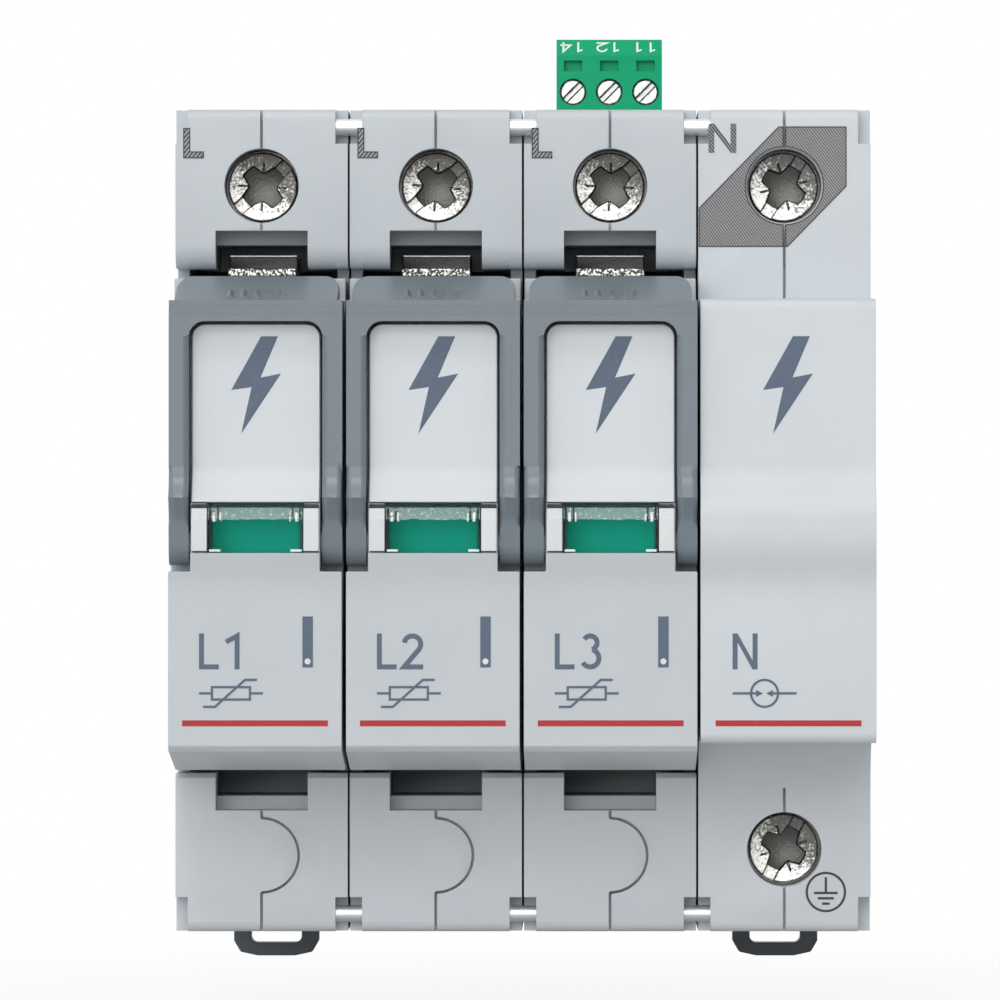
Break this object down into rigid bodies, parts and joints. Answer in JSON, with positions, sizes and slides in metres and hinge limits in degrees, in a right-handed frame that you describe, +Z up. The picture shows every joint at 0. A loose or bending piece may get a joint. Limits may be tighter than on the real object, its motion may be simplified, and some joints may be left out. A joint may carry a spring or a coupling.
{
  "type": "din rail surge arrester",
  "caption": "Joined row of plug-in surge arrester modules with swing handles, status windows and screw terminals beside a closed neutral module, clipped to a 35 mm rail.",
  "frame": {"origin": "middle of the row on the rail's centreline, on the rail's front face", "axes": "+X along the rail to the user's right, -Y towards the user, +Z up"},
  "size_m": [0.071, 0.0685, 0.0973],
  "materials": {
    "base_grey": "satin moulded plastic",
    "nose_grey": "satin moulded plastic",
    "case_grey": "satin moulded plastic",
    "label_white": "smooth moulded plastic",
    "handle_grey": "fine grained moulded plastic",
    "clip_grey": "satin moulded plastic",
    "clear_lens": "clear polished plastic",
    "flag_green": "gloss",
    "flag_red": "gloss",
    "screw_steel": "nickel plated, worn",
    "pin_steel": "bright plated",
    "cage_steel": "zinc plated",
    "contact_brass": "tinned brass",
    "copper": "bare copper",
    "varistor": "dipped resin",
    "ceramic": "fired ceramic",
    "plug_green": "moulded plastic"
  },
  "bodies": {
    "row_base": {"base_4": "nose_grey", "neutral_cage": "cage_steel", "earth_cage": "cage_steel", "rear_cover": "nose_grey", "gas_tube": "ceramic", "gas_tube_straps": "copper", "common_bar": "copper", "link_pins": "pin_steel", "signal_header": "plug_green", "base_1": "base_grey", "contacts_1": "contact_brass", "line_cage_1": "cage_steel", "base_2": "base_grey", "contacts_2": "contact_brass", "line_cage_2": "cage_steel", "base_3": "base_grey", "contacts_3": "contact_brass", "line_cage_3": "cage_steel"},
    "cartridge_1": {"cartridge_case_1": "case_grey", "cartridge_back_1": "case_grey", "varistor_1": "varistor", "blades_1": "contact_brass", "label_plate_1": "label_white", "lens_1": "clear_lens"},
    "indicator_1": {"flag_green_1": "flag_green", "flag_red_1": "flag_red"},
    "lever_1": {"handle_1": "handle_grey"},
    "cartridge_2": {"cartridge_case_2": "case_grey", "cartridge_back_2": "case_grey", "varistor_2": "varistor", "blades_2": "contact_brass", "label_plate_2": "label_white", "lens_2": "clear_lens"},
    "indicator_2": {"flag_green_2": "flag_green", "flag_red_2": "flag_red"},
    "lever_2": {"handle_2": "handle_grey"},
    "cartridge_3": {"cartridge_case_3": "case_grey", "cartridge_back_3": "case_grey", "varistor_3": "varistor", "blades_3": "contact_brass", "label_plate_3": "label_white", "lens_3": "clear_lens"},
    "indicator_3": {"flag_green_3": "flag_green", "flag_red_3": "flag_red"},
    "lever_3": {"handle_3": "handle_grey"},
    "clip_1": {"rail_clip_1": "clip_grey"},
    "clip_2": {"rail_clip_2": "clip_grey"},
    "line_screw_1_body": {"line_screw_1": "screw_steel"},
    "line_screw_2_body": {"line_screw_2": "screw_steel"},
    "line_screw_3_body": {"line_screw_3": "screw_steel"},
    "neutral_screw_body": {"neutral_screw": "screw_steel"},
    "earth_screw_body": {"earth_screw": "screw_steel"},
    "plug": {"signal_plug": "plug_green", "signal_plug_screws": "pin_steel"}
  },
  "joints": [
    {"name": "cartridge_pull_1", "type": "slide", "parent": "row_base", "child": "cartridge_1", "axis": [0, -1, 0], "range_m": [0, 0.045]},
    {"name": "handle_swing_1", "type": "hinge", "parent": "cartridge_1", "child": "lever_1", "pos_m": [-0.0267, -0.0597, -0.0024], "axis": [1, 0, 0], "range_deg": [0, 80]},
    {"name": "flag_jump_1", "type": "slide", "parent": "cartridge_1", "child": "indicator_1", "axis": [0, 0, 1], "range_m": [0, 0.0051]},
    {"name": "cartridge_pull_2", "type": "slide", "parent": "row_base", "child": "cartridge_2", "axis": [0, -1, 0], "range_m": [0, 0.045]},
    {"name": "handle_swing_2", "type": "hinge", "parent": "cartridge_2", "child": "lever_2", "pos_m": [-0.0089, -0.0597, -0.0024], "axis": [1, 0, 0], "range_deg": [0, 80]},
    {"name": "flag_jump_2", "type": "slide", "parent": "cartridge_2", "child": "indicator_2", "axis": [0, 0, 1], "range_m": [0, 0.0051]},
    {"name": "cartridge_pull_3", "type": "slide", "parent": "row_base", "child": "cartridge_3", "axis": [0, -1, 0], "range_m": [0, 0.045]},
    {"name": "handle_swing_3", "type": "hinge", "parent": "cartridge_3", "child": "lever_3", "pos_m": [0.0089, -0.0597, -0.0024], "axis": [1, 0, 0], "range_deg": [0, 80]},
    {"name": "flag_jump_3", "type": "slide", "parent": "cartridge_3", "child": "indicator_3", "axis": [0, 0, 1], "range_m": [0, 0.0051]},
    {"name": "clip_pull_1", "type": "slide", "parent": "row_base", "child": "clip_1", "axis": [0, 0, -1], "range_m": [0, 0.004], "stiffness_N_per_m": 600},
    {"name": "clip_pull_2", "type": "slide", "parent": "row_base", "child": "clip_2", "axis": [0, 0, -1], "range_m": [0, 0.004], "stiffness_N_per_m": 600},
    {"name": "line_screw_1_turn", "type": "hinge", "parent": "row_base", "child": "line_screw_1_body", "pos_m": [-0.0267, -0.037, 0.0342], "axis": [0, -1, 0], "continuous": true},
    {"name": "line_screw_2_turn", "type": "hinge", "parent": "row_base", "child": "line_screw_2_body", "pos_m": [-0.0089, -0.037, 0.0342], "axis": [0, -1, 0], "continuous": true},
    {"name": "line_screw_3_turn", "type": "hinge", "parent": "row_base", "child": "line_screw_3_body", "pos_m": [0.0089, -0.037, 0.0342], "axis": [0, -1, 0], "continuous": true},
    {"name": "neutral_screw_turn", "type": "hinge", "parent": "row_base", "child": "neutral_screw_body", "pos_m": [0.0267, -0.037, 0.0342], "axis": [0, -1, 0], "continuous": true},
    {"name": "earth_screw_turn", "type": "hinge", "parent": "row_base", "child": "earth_screw_body", "pos_m": [0.0267, -0.037, -0.0336], "axis": [0, -1, 0], "continuous": true},
    {"name": "signal_plug_pull", "type": "slide", "parent": "row_base", "child": "plug", "axis": [0, 0, 1], "range_m": [0, 0.016]}
  ]
}
